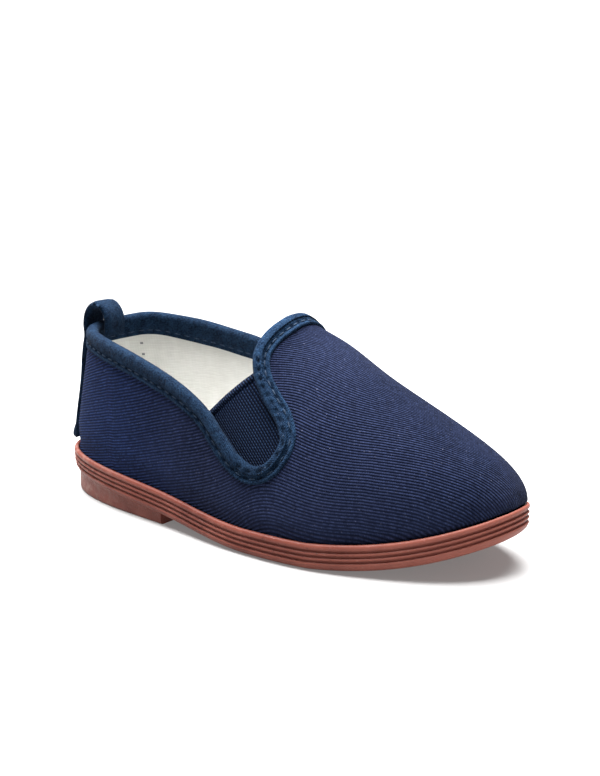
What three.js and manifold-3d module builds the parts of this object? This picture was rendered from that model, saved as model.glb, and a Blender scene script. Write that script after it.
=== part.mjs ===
// Child's slip-on canvas plimsoll, right foot, millimetres.
// +X points to the toe, +Y to the inner (big toe) side, +Z up. The floor is z = 0 and the
// sole is centred on the origin. The shoe stands empty on its heel block and forefoot.
import * as THREE from "three";
import { mergeVertices } from "three/addons/utils/BufferGeometryUtils.js";
import Module from "manifold-3d";

const wasm = await Module();
wasm.setup();

// Driving dimensions
const SOLE_LENGTH = 172;
const HALF_LENGTH = SOLE_LENGTH / 2;
const TOE_SWING = 4.5; // how far the toe's centre line bends to the inner side
const BAND_HEIGHT = 8.3; // ribbed side band of the sole
const RECESS_DEPTH = 4.0; // from the rim's top down to the floor that the upper stands on
const GAP = 0.3; // between touching pieces
const WALL = 1.8; // canvas and lining together
const UPPER_INSET = 1.9; // upper inside the sole's outline at the rim
const UPPER_SWELL = 1.2; // how far the canvas bulges back out above the rim
const HEEL_LEAN = 10.4; // forward lean of the back seam at the collar
const LEAN_FOOT = 14; // height where the lean begins
const LEAN_RISE = 46; // height over which it grows to the full lean
const LEAN_LIMIT = 1.25; // largest share of the lean, above the collar
const LEAN_POWERS = { up: 1.05, back: 1.5 }; // how it grows upwards and towards the heel
const LEAN_FRONT = -10; // x where the lean has faded out
const COLLAR_TILT = 0.055; // rise of the opening's edge from the outer to the inner side, per mm
const SPINE_REAR = 0.31; // shortening of the upper's spine towards the heel
const SPINE_TOE = 0.13; // the same towards the toe
const CREST_SHIFT = 7.5; // how far the crest leans to the inner side over the instep
const CREST_AT = 18; // x where it leans furthest
const CREST_SPREAD = 14.5; // how far along the shoe that fades out
const TAPE_THICKNESS = 0.9;
const TAPE_BEAD = 1.0; // rolled edge of the tape beyond the canvas
const INSOLE_THICKNESS = 2.5;
const GORE_THICKNESS = 1.2;
const GORE_MARGIN = 5.0; // elastic hidden behind the canvas around the notch
const STRIP_WIDTH = 9.5;
const STRIP_THICKNESS = 1.8;
const STRIP_SHIFT = -1.5; // strip's centre line, towards the outer side
const STRIP_FOLD = 1.2; // extra thickness where the strip's lower end is folded under
const STRIP_FOOT = 16.3; // height of the lower end
const FOLD_RISE = 5; // height over which the fold thins out
const FOLD_TOP = STRIP_FOOT + 6; // height where it has gone
const SEAM_TAPE = 36; // height where the strip starts to move out over the collar's tape
const SEAM_TAPE_RISE = 14; // height over which it does so
const BREAST_AT = 0.34; // front edge of the heel block, as a share of the length
const BLOCK_INSET = 1.7; // heel block inside the sole's outline
const BLOCK_CHAMFER = 0.8; // at the block's lower edge
const BREAST_SLOPE = 1.5; // how far the block's front leans forward over its height
const BAND_TAPER = 0.9; // the band narrows downwards by this much round the heel
const TAPER_FRONT = -40; // x where that has faded out

// One row per station along the last, from heel (0) to toe (1).
// outer, inner: half-width of the ellipse that fits the outline here on each side
// bottom: lower edge of the side band above the floor; ridge: crest of the upper's full form
// square: exponent of the section's superellipse, 2 is round and more is boxier
const stations = [
  { at: 0.0, outer: 34.5, inner: 34.5, bottom: 7.3, ridge: 105, square: 3.6 },
  { at: 0.14, outer: 30.9, inner: 32.0, bottom: 6.0, ridge: 101, square: 3.6 },
  { at: 0.34, outer: 28.8, inner: 28.4, bottom: 3.6, ridge: 92, square: 3.0 },
  { at: 0.55, outer: 32.9, inner: 30.4, bottom: 0.1, ridge: 65.8, square: 2.0 },
  { at: 0.7, outer: 36.0, inner: 34.4, bottom: 0.0, ridge: 54.6, square: 1.8 },
  { at: 0.86, outer: 36.9, inner: 36.2, bottom: 3.6, ridge: 40.6, square: 2.1 },
  { at: 1.0, outer: 40.8, inner: 40.8, bottom: 11.8, ridge: 27.5, square: 2.4 },
];

// Side view of the opening's taped edge at the shoe's middle: collar, notch for the elastic,
// tongue-like throat. tape: width of the tape's outer face below the edge
const openingEdge = [
  { x: -80, z: 59.2, tape: 6.6 },
  { x: -64, z: 59.2, tape: 6.6 },
  { x: -50, z: 57.8, tape: 7.0 },
  { x: -36, z: 55.0, tape: 6.8 },
  { x: -21, z: 50.7, tape: 6.3 },
  { x: -12, z: 47.0, tape: 5.8 },
  { x: -4.8, z: 42.6, tape: 5.6 },
  { x: 1, z: 37.4, tape: 5.7 },
  { x: 7.4, z: 31.8, tape: 5.9 },
  { x: 13.8, z: 29.3, tape: 5.7 },
  { x: 18.2, z: 31, tape: 5.4 },
  { x: 20.7, z: 36.6, tape: 5.4 },
  { x: 17.9, z: 41.2, tape: 5.8 },
  { x: 12.9, z: 45.9, tape: 5.8 },
  { x: 8.1, z: 51.6, tape: 5.4 },
  { x: 5.5, z: 56.2, tape: 5.4 },
  { x: 4, z: 61, tape: 5.6 },
  { x: 4.6, z: 67.4, tape: 6.0 },
];
const SKY = 140; // height of the cutting forms, above every crest

// Side band, from its lower edge to the rim: height above the lower edge, inset of the face
const bandProfile = [
  { up: 0.0, inset: 2.2 },
  { up: 1.2, inset: 0.4 },
  { up: 2.0, inset: 0.0 },
  { up: 2.6, inset: 0.0 },
  { up: 3.05, inset: 0.7 },
  { up: 3.5, inset: 0.0 },
  { up: 4.2, inset: 0.0 },
  { up: 4.65, inset: 0.7 },
  { up: 5.1, inset: 0.0 },
  { up: 5.75, inset: 0.0 },
  { up: 6.2, inset: 0.7 },
  { up: 6.65, inset: 0.0 },
  { up: 7.8, inset: 0.1 },
  { up: BAND_HEIGHT, inset: 0.6 },
  { up: BAND_HEIGHT, inset: UPPER_INSET - GAP },
  { up: BAND_HEIGHT - RECESS_DEPTH, inset: UPPER_INSET - GAP },
];

// Pull strip's centre line in side view: heights on the back seam, then above the collar and
// down inside
const stripHeights = [STRIP_FOOT, 22, 28, 34, 40, 46, 50, 54];
const stripLoop = [
  { x: -78.7, z: 58.5 },
  { x: -77.8, z: 61.9 },
  { x: -75.9, z: 64.4 },
  { x: -73.2, z: 65.2 },
  { x: -70.8, z: 63.7 },
  { x: -69.3, z: 60.6 },
  { x: -69.1, z: 57.2 },
  { x: -69.9, z: 54.2 },
];

const TURNS = 80;
const STRIP_STEPS = 44;
const RISES = [0, 0.05, 0.12, 0.2, 0.29, 0.39, 0.5, 0.62, 0.75, 0.88, 1];
const FULL_TURN = 2 * Math.PI;

const clamp = (value, low, high) => Math.min(high, Math.max(low, value));
const easeStep = (share) => {
  const s = clamp(share, 0, 1);
  return s * s * (3 - 2 * s);
};

// Smooth curve through table rows: slopes come from the parabola through three neighbours.
function alongRows(rows, keys, values, key) {
  const last = rows.length - 1;
  const secant = (i) => (values[i + 1] - values[i]) / (keys[i + 1] - keys[i]);
  const slope = (i) => {
    if (i === 0) return 2 * secant(0) - slope(1);
    if (i === last) return 2 * secant(last - 1) - slope(last - 1);
    const before = keys[i] - keys[i - 1];
    const after = keys[i + 1] - keys[i];
    return (secant(i - 1) * after + secant(i) * before) / (before + after);
  };
  const at = clamp(key, keys[0], keys[last]);
  let i = 0;
  while (i < last - 1 && at >= keys[i + 1]) i += 1;
  const span = keys[i + 1] - keys[i];
  const t = (at - keys[i]) / span;
  return (
    (1 + 2 * t) * (1 - t) ** 2 * values[i] +
    t * (1 - t) ** 2 * span * slope(i) +
    t * t * (3 - 2 * t) * values[i + 1] +
    t * t * (t - 1) * span * slope(i + 1)
  );
}

const stationKeys = stations.map((row) => row.at);
const station = (column, share) =>
  alongRows(stations, stationKeys, stations.map((row) => row[column]), share);

const shareOf = (x) => clamp((x + HALF_LENGTH) / SOLE_LENGTH, 0, 1);
const centreLine = (x) => TOE_SWING * clamp(x / HALF_LENGTH, 0, 1) ** 2;
const bandBottom = (share) => Math.max(0, station("bottom", share));
const rimTop = (x) => bandBottom(shareOf(x)) + BAND_HEIGHT;

// Outline of the sole. turn 0 is the heel, a quarter turn the outer side, a half turn the toe.
function outlineAt(turn) {
  const x = -HALF_LENGTH * Math.cos(turn);
  const column = Math.sin(turn) >= 0 ? "outer" : "inner";
  const y = -Math.sin(turn) * station(column, shareOf(x)) + centreLine(x);
  return new THREE.Vector2(x, y);
}

function outline(turn, inset) {
  const step = 1e-4;
  const along = outlineAt(turn + step).sub(outlineAt(turn - step)).normalize();
  const inward = new THREE.Vector2(-along.y, along.x);
  return outlineAt(turn).addScaledVector(inward, inset);
}

// Line under the crest that every section of the upper closes to, shorter than the sole.
function spine(turn) {
  const reach = -Math.cos(turn);
  const shortening = reach < 0 ? SPINE_REAR * reach ** 2 : SPINE_TOE * reach ** 3;
  const x = HALF_LENGTH * reach * (1 - shortening);
  const shift = CREST_SHIFT * Math.exp(-(((x - CREST_AT) / CREST_SPREAD) ** 2));
  return new THREE.Vector2(x, centreLine(x) + shift);
}

function heelLean(x, z) {
  const up = clamp((z - LEAN_FOOT) / LEAN_RISE, 0, LEAN_LIMIT);
  const back = clamp((LEAN_FRONT - x) / (HALF_LENGTH + LEAN_FRONT), 0, 1);
  return HEEL_LEAN * up ** LEAN_POWERS.up * back ** LEAN_POWERS.back;
}

// Point of the upper's outer face: turn goes round the last, rise from the rim (0) to the
// crest (1) along a quarter of a superellipse.
function lastPoint(turn, rise) {
  const top = spine(turn);
  const power = station("square", shareOf(top.x));
  const angle = (rise * Math.PI) / 2;
  const across = Math.cos(angle);
  const up = Math.sin(angle);
  const radius = (across ** power + up ** power) ** (-1 / power);
  const swell = UPPER_SWELL * easeStep((up * radius) / 0.1);
  const foot = outline(turn, UPPER_INSET - swell);
  const flat = foot.clone().lerp(top, 1 - across * radius);
  const base = rimTop(foot.x);
  const z = base + (station("ridge", shareOf(flat.x)) - base) * up * radius;
  return new THREE.Vector3(flat.x + heelLean(flat.x, z), flat.y, z);
}

function lastNormal(turn, rise) {
  const step = 1e-3;
  if (rise > 1 - step) {
    const along = lastPoint(turn + step, 1).sub(lastPoint(turn - step, 1));
    if (along.lengthSq() < 1e-9) along.copy(lastPoint(turn, 1).sub(lastPoint(turn, 1 - step)));
    if (along.x < 0) along.negate();
    return new THREE.Vector3(-along.z, 0, along.x).normalize();
  }
  const along = lastPoint(turn + step, rise).sub(lastPoint(turn - step, rise));
  const up = lastPoint(turn, rise + step).sub(lastPoint(turn, Math.max(0, rise - step)));
  return along.cross(up).normalize();
}

const turns = Array.from({ length: TURNS }, (_, i) => (FULL_TURN * i) / TURNS);

// Closed solid through a stack of rings. The first and last ring are closed by strips that
// join each outer point to the inner point opposite it.
function stackRings(rings) {
  const positions = rings.flat().flatMap((point) => [point.x, point.y, point.z]);
  const triangles = [];
  const at = (ring, i) => ring * TURNS + ((i + TURNS) % TURNS);
  for (let ring = 0; ring < rings.length - 1; ring += 1) {
    for (let i = 0; i < TURNS; i += 1) {
      triangles.push(at(ring, i), at(ring, i + 1), at(ring + 1, i + 1));
      triangles.push(at(ring, i), at(ring + 1, i + 1), at(ring + 1, i));
    }
  }
  for (let i = 0; i < TURNS / 2; i += 1) {
    const mirror = TURNS - i;
    const top = rings.length - 1;
    triangles.push(at(0, i), at(0, mirror), at(0, i + 1));
    triangles.push(at(0, i + 1), at(0, mirror), at(0, mirror - 1));
    triangles.push(at(top, i), at(top, i + 1), at(top, mirror));
    triangles.push(at(top, i + 1), at(top, mirror - 1), at(top, mirror));
  }
  return solidFrom(positions, triangles);
}

// Welds equal corners, drops triangles that have no area left and makes a solid.
function solidFrom(positions, triangles) {
  const geometry = new THREE.BufferGeometry();
  geometry.setAttribute("position", new THREE.Float32BufferAttribute(positions, 3));
  geometry.setIndex(triangles);
  return solidOf(geometry);
}

function solidOf(geometry) {
  geometry.deleteAttribute("normal");
  geometry.deleteAttribute("uv");
  const welded = mergeVertices(geometry, 1e-4);
  const index = Array.from(welded.index.array);
  const kept = [];
  for (let i = 0; i < index.length; i += 3) {
    const [a, b, c] = index.slice(i, i + 3);
    if (a !== b && b !== c && a !== c) kept.push(a, b, c);
  }
  return new wasm.Manifold(
    new wasm.Mesh({
      numProp: 3,
      vertProperties: new Float32Array(welded.attributes.position.array),
      triVerts: new Uint32Array(kept),
    }),
  );
}

// Full closed form of the upper, its face moved out by offset, with a skirt straight down.
function lastForm(offset, skirt) {
  const ringAt = (rise) =>
    turns.map((turn) =>
      lastPoint(turn, rise).addScaledVector(lastNormal(turn, rise), offset),
    );
  const rings = RISES.map(ringAt);
  const foot = rings[0].map((point, i) => {
    const edge = outline(turns[i], UPPER_INSET - offset);
    return new THREE.Vector3(edge.x, edge.y, rimTop(edge.x) - skirt);
  });
  return stackRings([foot, ...rings]);
}

// Solid with the given side view, cut right through the shoe's width. tilt raises it towards
// the inner side.
function sideForm(profile, tilt = 0) {
  const width = SOLE_LENGTH;
  const shape = new THREE.Shape(profile.map((point) => new THREE.Vector2(point.x, point.z)));
  const geometry = new THREE.ExtrudeGeometry(shape, { depth: width, bevelEnabled: false });
  geometry.rotateX(Math.PI / 2);
  geometry.translate(0, width / 2, 0);
  geometry.applyMatrix4(new THREE.Matrix4().makeShear(0, 0, 0, tilt, 0, 0));
  return solidOf(geometry);
}

// The opening's edge as a smooth side-view curve; into(row) moves it into the canvas.
const EDGE_STEPS = 38;
const edgeKeys = [0];
for (let i = 1; i < openingEdge.length; i += 1) {
  const [a, b] = [openingEdge[i - 1], openingEdge[i]];
  edgeKeys.push(edgeKeys[i - 1] + Math.sqrt(Math.hypot(b.x - a.x, b.z - a.z)));
}
const edgeColumn = (column, key) =>
  alongRows(openingEdge, edgeKeys, openingEdge.map((row) => row[column]), key);

function openingForm(into) {
  const lastKey = edgeKeys[edgeKeys.length - 1];
  const profile = [];
  for (let i = 0; i <= EDGE_STEPS; i += 1) {
    const key = (lastKey * i) / EDGE_STEPS;
    const step = 1e-3;
    const dx = edgeColumn("x", key + step) - edgeColumn("x", key - step);
    const dz = edgeColumn("z", key + step) - edgeColumn("z", key - step);
    const length = Math.hypot(dx, dz);
    const move = into(edgeColumn("tape", key));
    profile.push({
      x: edgeColumn("x", key) + (dz / length) * move,
      z: edgeColumn("z", key) - (dx / length) * move,
    });
  }
  const start = profile[0];
  const end = profile[EDGE_STEPS];
  profile.push({ x: end.x, z: SKY }, { x: -SOLE_LENGTH, z: SKY });
  profile.push({ x: -SOLE_LENGTH, z: start.z });
  return sideForm(profile, COLLAR_TILT);
}

function upperSolid() {
  const skirt = RECESS_DEPTH - GAP;
  const shell = lastForm(0, skirt).subtract(lastForm(-WALL, skirt + 2));
  return shell.subtract(openingForm(() => TAPE_BEAD));
}

// Tape folded over the canvas edge: a U in section, all the way round the opening.
function bindingSolid() {
  const outer = GAP + TAPE_THICKNESS;
  const both = lastForm(outer, 0).subtract(lastForm(-WALL - outer, 2));
  const band = openingForm((tape) => tape).subtract(openingForm(() => 0));
  const room = lastForm(GAP, 1).subtract(lastForm(-WALL - GAP, 3));
  const canvas = room.subtract(openingForm(() => TAPE_BEAD - GAP));
  return both.intersect(band).subtract(canvas);
}

// Elastic's straight top edge and the room under it, in side view at the shoe's middle
const goreCut = [
  { x: -12, z: 20 },
  { x: 27, z: 20 },
  { x: 27, z: 75.8 },
  { x: -12, z: 37.1 },
];

// Elastic insert behind a notch; side is -1 for the outer side and 1 for the inner one.
function goreSolid(side) {
  const depth = WALL + GAP + TAPE_THICKNESS + GAP;
  const sheet = lastForm(-depth, 0).subtract(lastForm(-depth - GORE_THICKNESS, 2));
  const below = sideForm(goreCut, COLLAR_TILT);
  const half = new THREE.BoxGeometry(2 * SOLE_LENGTH, SOLE_LENGTH, 2 * SKY);
  half.translate(0, (side * SOLE_LENGTH) / 2, 0);
  const reach = openingForm(() => GORE_MARGIN);
  return sheet.intersect(reach).intersect(below).intersect(solidOf(half));
}

function outsoleSolid() {
  const ringAt = ({ up, inset }) =>
    turns.map((turn) => {
      const heel = clamp((TAPER_FRONT - outline(turn, 0).x) / (HALF_LENGTH + TAPER_FRONT), 0, 1);
      const taper = BAND_TAPER * heel * Math.max(0, 1 - up / (BAND_HEIGHT - RECESS_DEPTH));
      const edge = outline(turn, inset + taper);
      return new THREE.Vector3(edge.x, edge.y, bandBottom(shareOf(edge.x)) + up);
    });
  const sole = stackRings(bandProfile.map(ringAt));
  const blockRows = [
    { inset: BLOCK_INSET + BLOCK_CHAMFER, z: () => 0 },
    { inset: BLOCK_INSET, z: () => BLOCK_CHAMFER },
    { inset: BLOCK_INSET, z: (x) => bandBottom(shareOf(x)) + BLOCK_CHAMFER },
  ];
  const block = stackRings(
    blockRows.map(({ inset, z }) =>
      turns.map((turn) => {
        const edge = outline(turn, inset);
        return new THREE.Vector3(edge.x, edge.y, z(edge.x));
      }),
    ),
  );
  const breast = BREAST_AT * SOLE_LENGTH - HALF_LENGTH;
  const heelSide = sideForm([
    { x: -SOLE_LENGTH, z: -BAND_HEIGHT },
    { x: breast - BREAST_SLOPE, z: -BAND_HEIGHT },
    { x: breast + BREAST_SLOPE, z: BAND_HEIGHT },
    { x: -SOLE_LENGTH, z: 2 * BAND_HEIGHT },
  ]);
  return sole.add(block.intersect(heelSide));
}

function insoleSolid() {
  const inset = UPPER_INSET + WALL + 2 * GAP;
  const ringAt = (up) =>
    turns.map((turn) => {
      const edge = outline(turn, inset);
      return new THREE.Vector3(edge.x, edge.y, rimTop(edge.x) - RECESS_DEPTH + up);
    });
  return stackRings([ringAt(GAP), ringAt(GAP + INSOLE_THICKNESS)]);
}

// Pull strip: up the back seam, over the collar as a loop, down inside. Its flat sheet bends
// only in side view, so it stands on the seam's middle line.
function heelStripSolid() {
  const half = STRIP_THICKNESS / 2;
  const path = [];
  for (const z of stripHeights) {
    const overTape = easeStep((z - SEAM_TAPE) / SEAM_TAPE_RISE);
    const clear = GAP + (GAP + TAPE_THICKNESS) * overTape;
    path.push(new THREE.Vector2(backSeam(z) - clear - half, z));
  }
  for (const row of stripLoop) path.push(new THREE.Vector2(row.x, row.z));
  const curve = new THREE.SplineCurve(path).getPoints(STRIP_STEPS);
  const side = (sign) =>
    curve.map((point, i) => {
      const before = curve[Math.max(0, i - 1)];
      const after = curve[Math.min(curve.length - 1, i + 1)];
      const along = after.clone().sub(before).normalize();
      const thinning = easeStep((FOLD_TOP - point.y) / FOLD_RISE);
      const fold = sign > 0 ? STRIP_FOLD * thinning : 0;
      const out = sign * half + fold;
      return new THREE.Vector2(point.x - out * along.y, point.y + out * along.x);
    });
  const shape = new THREE.Shape([...side(1), ...side(-1).reverse()]);
  const geometry = new THREE.ExtrudeGeometry(shape, { depth: STRIP_WIDTH, bevelEnabled: false });
  geometry.rotateX(Math.PI / 2);
  geometry.translate(0, STRIP_SHIFT + STRIP_WIDTH / 2, 0);
  return solidOf(geometry);
}

const SEARCH_HALVINGS = 24;

// x of the canvas at the back seam, at height z
function backSeam(z) {
  let low = 0;
  let high = 1;
  for (let i = 0; i < SEARCH_HALVINGS; i += 1) {
    const middle = (low + high) / 2;
    if (lastPoint(0, middle).z < z) low = middle;
    else high = middle;
  }
  return lastPoint(0, low).x;
}

const materials = {
  canvas: { color: 0x2a2f55, roughness: 0.95 },
  tape: { color: 0x1f3a5c, roughness: 0.95 },
  elastic: { color: 0x141c38, roughness: 0.85 },
  rubber: { color: 0x9a4a3e, roughness: 0.6 },
  cotton: { color: 0xd8d4cc, roughness: 0.95 },
};

const shoe = new THREE.Group();

function addPiece(name, solid, material) {
  const mesh = solid.getMesh();
  const geometry = new THREE.BufferGeometry();
  geometry.setAttribute("position", new THREE.BufferAttribute(mesh.vertProperties, 3));
  geometry.setIndex(new THREE.BufferAttribute(mesh.triVerts, 1));
  const finish = new THREE.MeshStandardMaterial({ ...materials[material], metalness: 0 });
  const piece = new THREE.Mesh(geometry, finish);
  piece.name = name;
  shoe.add(piece);
}

addPiece("outsole", outsoleSolid(), "rubber");
addPiece("insole", insoleSolid(), "cotton");
addPiece("upper", upperSolid(), "canvas");
addPiece("binding", bindingSolid(), "tape");
addPiece("gore_outer", goreSolid(-1), "elastic");
addPiece("gore_inner", goreSolid(1), "elastic");
addPiece("heel_strip", heelStripSolid(), "tape");

export default shoe;
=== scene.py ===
# Looks of a child's slip-on canvas plimsoll, right foot. Shape functions work in millimetres,
# +X to the toe, +Y to the inner side, +Z up; meshes are written in metres.
import math

import bpy
import numpy as np
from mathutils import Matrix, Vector


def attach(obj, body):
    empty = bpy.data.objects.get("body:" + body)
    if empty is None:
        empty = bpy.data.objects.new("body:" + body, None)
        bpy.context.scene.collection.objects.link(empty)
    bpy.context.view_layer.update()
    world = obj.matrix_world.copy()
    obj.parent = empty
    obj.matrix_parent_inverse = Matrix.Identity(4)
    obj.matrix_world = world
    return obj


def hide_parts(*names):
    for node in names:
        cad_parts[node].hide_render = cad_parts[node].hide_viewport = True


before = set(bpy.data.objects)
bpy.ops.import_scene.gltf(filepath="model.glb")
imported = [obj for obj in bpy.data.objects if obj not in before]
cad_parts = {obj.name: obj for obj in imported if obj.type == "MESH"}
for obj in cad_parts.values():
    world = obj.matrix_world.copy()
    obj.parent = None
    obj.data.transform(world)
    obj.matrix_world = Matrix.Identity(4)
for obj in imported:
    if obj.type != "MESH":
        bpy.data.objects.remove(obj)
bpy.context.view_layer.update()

MM = 0.001
rng = np.random.default_rng(7)

# ---------------- sizes, in millimetres

SOLE_LENGTH = 172.0
HALF_LENGTH = SOLE_LENGTH / 2
TOE_SWING = 4.5       # how far the toe bends to the inner side
BAND_HEIGHT = 8.3     # ribbed side band of the sole
RECESS_DEPTH = 4.0    # from the rim down to the floor the upper stands on
WALL = 1.8            # canvas and lining together
UPPER_INSET = 1.9     # upper inside the sole's outline at the rim
UPPER_SWELL = 1.2     # how far the canvas bulges back out above the rim
HEEL_LEAN = 10.4      # forward lean of the back seam at the collar
LEAN_FOOT = 14.0      # height where the lean begins
LEAN_RISE = 46.0      # height over which it grows to the full lean
LEAN_LIMIT = 1.25     # largest share of the lean, above the collar
LEAN_FRONT = -10.0    # x where the lean has faded out
COLLAR_TILT = 0.055   # rise of the opening's edge towards the inner side
INNER_LIFT = 1.5      # extra height of the collar's inner side, at its two high places
SPINE_REAR = 0.31     # shortening of the line under the crest towards the heel
SPINE_TOE = 0.13      # the same towards the toe
CREST_SHIFT = 7.5     # how far the crest leans to the inner side over the instep
CREST_AT = 18.0       # x where it leans furthest
CREST_SPREAD = 14.5   # how far along the shoe that fades out
TAPE_OVER = 1.25      # outer face of the tape above the canvas
TAPE_UNDER = 3.0      # its inner face below the canvas's outer face
TAPE_INNER_EXTRA = 1.5  # how much wider the tape is inside
GORE_DEPTH = 3.3      # elastic's outer face below the canvas's outer face
GORE_THICKNESS = 1.2
GORE_DROP = 27.0      # elastic from its top edge down
GORE_SPAN = 36.0      # and along that edge
GORE_MARGIN = 4.0     # hidden behind the canvas around the notch
STRIP_WIDTH = 9.5
STRIP_THICKNESS = 2.3
STRIP_SHIFT = -1.5    # strip's centre line, towards the outer side
STRIP_FOOT = 16.3     # height of its lower end
STRIP_FOLD = 1.3      # extra thickness where that end is folded under
FOLD_TOP = STRIP_FOOT + 6
FOLD_RISE = 5.0       # height over which the fold thins out below its top
BREAST_X = 0.34 * SOLE_LENGTH - HALF_LENGTH
BLOCK_INSET = 1.7     # heel block inside the sole's outline
BAND_TAPER = 0.9      # the band narrows downwards by this much round the heel
TAPER_FRONT = -40.0   # x where that has faded out
RIB_PITCH = 0.97      # twill, across its diagonal ribs
ELASTIC_PITCH = 0.78  # ribs of the elastic
LINING_PITCH = 0.62   # threads of the plain-weave lining
STITCH_PITCH = 3.8    # row along the tape's lower edge
SECOND_PITCH = 3.1    # row that holds the elastic
FIRST_LINE = 1.7      # distances of the rows from the tape's lower edge
SECOND_LINE = 3.65
INSIDE_LINE = 1.9
LINING_SEAM_X = -69.3  # seam in the lining beside the pull strip
LINING_SEAM_PITCH = 4.1
FLOOR_RADIUS = 620.0
FLOOR_PLAIN = 260.0   # beyond this radius the floor fades into the background

# share of the length, outer and inner half-width, band bottom, ridge, section exponent
STATIONS = np.array([
    (0.00, 34.5, 34.5, 7.3, 105.0, 3.6),
    (0.14, 30.9, 32.0, 6.0, 101.0, 3.6),
    (0.34, 28.8, 28.4, 3.6, 92.0, 3.0),
    (0.55, 32.9, 30.4, 0.1, 65.8, 2.0),
    (0.70, 36.0, 34.4, 0.0, 54.6, 1.8),
    (0.86, 36.9, 36.2, 3.6, 40.6, 2.1),
    (1.00, 40.8, 40.8, 11.8, 27.5, 2.4),
])
OUTER, INNER, BOTTOM, RIDGE, SQUARE = 1, 2, 3, 4, 5

# Side view of the opening's taped edge at the shoe's middle: x, z, width of the tape
OPENING = np.array([
    (-80.0, 59.2, 6.6),
    (-64.0, 59.2, 6.6),
    (-50.0, 57.8, 7.0),
    (-36.0, 55.0, 6.8),
    (-21.0, 50.7, 6.3),
    (-12.0, 47.0, 5.8),
    (-4.8, 42.6, 5.6),
    (1.0, 37.4, 5.7),
    (7.4, 31.8, 5.9),
    (13.8, 29.3, 5.7),
    (18.2, 31.0, 5.4),
    (20.7, 36.6, 5.4),
    (17.9, 41.2, 5.8),
    (12.9, 45.9, 5.8),
    (8.1, 51.6, 5.4),
    (5.5, 56.2, 5.4),
    (4.0, 61.0, 5.6),
    (4.6, 67.4, 6.0),
])
OPENING_TOP = 95.0    # the cut runs straight up from the last row

# Elastic in the same side view: its top edge and the direction of its ribs
GORE_CORNER = np.array([-12.0, 37.1])
GORE_ALONG_TOP = np.array([0.710, 0.704])
GORE_RIBS = np.array([0.704, -0.710])

# Pull strip's centre line in side view above the collar and down inside
STRIP_LOOP = np.array([
    (-78.9, 58.5),
    (-78.0, 61.9),
    (-76.0, 64.3),
    (-73.5, 65.3),
    (-71.5, 64.5),
    (-69.8, 62.6),
    (-69.0, 60.3),
    (-69.1, 57.5),
    (-69.8, 54.5),
])

# Side band of the sole from its lower edge to the recess: height, inset of the face
BAND_PROFILE = np.array([
    (0.00, 2.30), (0.30, 1.50), (0.70, 0.92), (1.10, 0.52), (1.50, 0.26), (1.90, 0.08),
    (2.20, 0.00), (2.45, 0.06), (2.65, 0.30), (2.85, 0.60), (3.05, 0.74), (3.25, 0.60),
    (3.45, 0.28), (3.62, 0.06), (3.82, 0.00), (4.02, 0.06), (4.20, 0.28), (4.40, 0.60),
    (4.62, 0.74), (4.84, 0.60), (5.04, 0.28), (5.20, 0.06), (5.40, 0.00), (5.60, 0.06),
    (5.78, 0.28), (5.98, 0.60), (6.20, 0.74), (6.42, 0.60), (6.62, 0.25), (6.80, 0.05),
    (7.00, 0.00), (7.40, 0.04), (7.80, 0.14), (8.08, 0.34), (8.25, 0.62), (8.30, 0.95),
    (8.27, 1.30), (8.08, 1.56), (7.50, 1.62), (4.30, 1.62),
])

# ---------------- colours, linear

TWILL_DARK, TWILL_LIGHT = (0.0018, 0.0038, 0.0145), (0.0285, 0.0415, 0.1020)
TWILL_FADED = (0.032, 0.042, 0.100)
# painted light: the canvas is made lighter and bluer towards the heel, where more light falls
TWILL_REAR_PAINTED_LIGHT = (0.86, 1.12, 1.42)
LINT = (0.22, 0.23, 0.34)
TAPE_DARK, TAPE_LIGHT = (0.0016, 0.0070, 0.0200), (0.0220, 0.056, 0.112)
# painted light: the tape is made lighter at the throat, high at the front, and darker elsewhere
TAPE_TINT, TAPE_THROAT_PAINTED_LIGHT = (0.84, 0.82, 0.86), (1.38, 1.34, 1.40)
# painted shade in the tape's needle pits
TAPE_PIT_PAINTED_SHADE = (0.0008, 0.002, 0.006)
THREAD_DARK, THREAD_LIGHT = (0.005, 0.018, 0.042), (0.032, 0.060, 0.112)
ELASTIC_DARK, ELASTIC_LIGHT = (0.0005, 0.0022, 0.0105), (0.0062, 0.020, 0.063)
# painted highlight on the dots of the elastic's ribs
ELASTIC_PAINTED_HIGHLIGHT = (0.050, 0.092, 0.180)
LINING_DARK, LINING_LIGHT = (0.64, 0.635, 0.60), (0.86, 0.855, 0.83)
LINING_STITCH = (0.02, 0.03, 0.06)
RUBBER_DARK, RUBBER_LIGHT = (0.180, 0.038, 0.024), (0.285, 0.075, 0.050)
RUBBER_PALE, RUBBER_SPECK = (0.42, 0.22, 0.18), (0.045, 0.016, 0.014)
# chalky dust at the heel, then painted light at the toe
RUBBER_CHALK, RUBBER_TOE_PAINTED_LIGHT = (0.56, 0.44, 0.38), (0.50, 0.155, 0.11)
# painted shade in the band's grooves and on the lip under the canvas
RUBBER_PAINTED_SHADE = (0.060, 0.012, 0.009)
FLOOR_BOUNCE = (0.27, 0.27, 0.27)
FLOOR_DARK, FLOOR_LIGHT = (0.46, 0.46, 0.46), (0.48, 0.48, 0.48)

# ---------------- shape of the last


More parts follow.
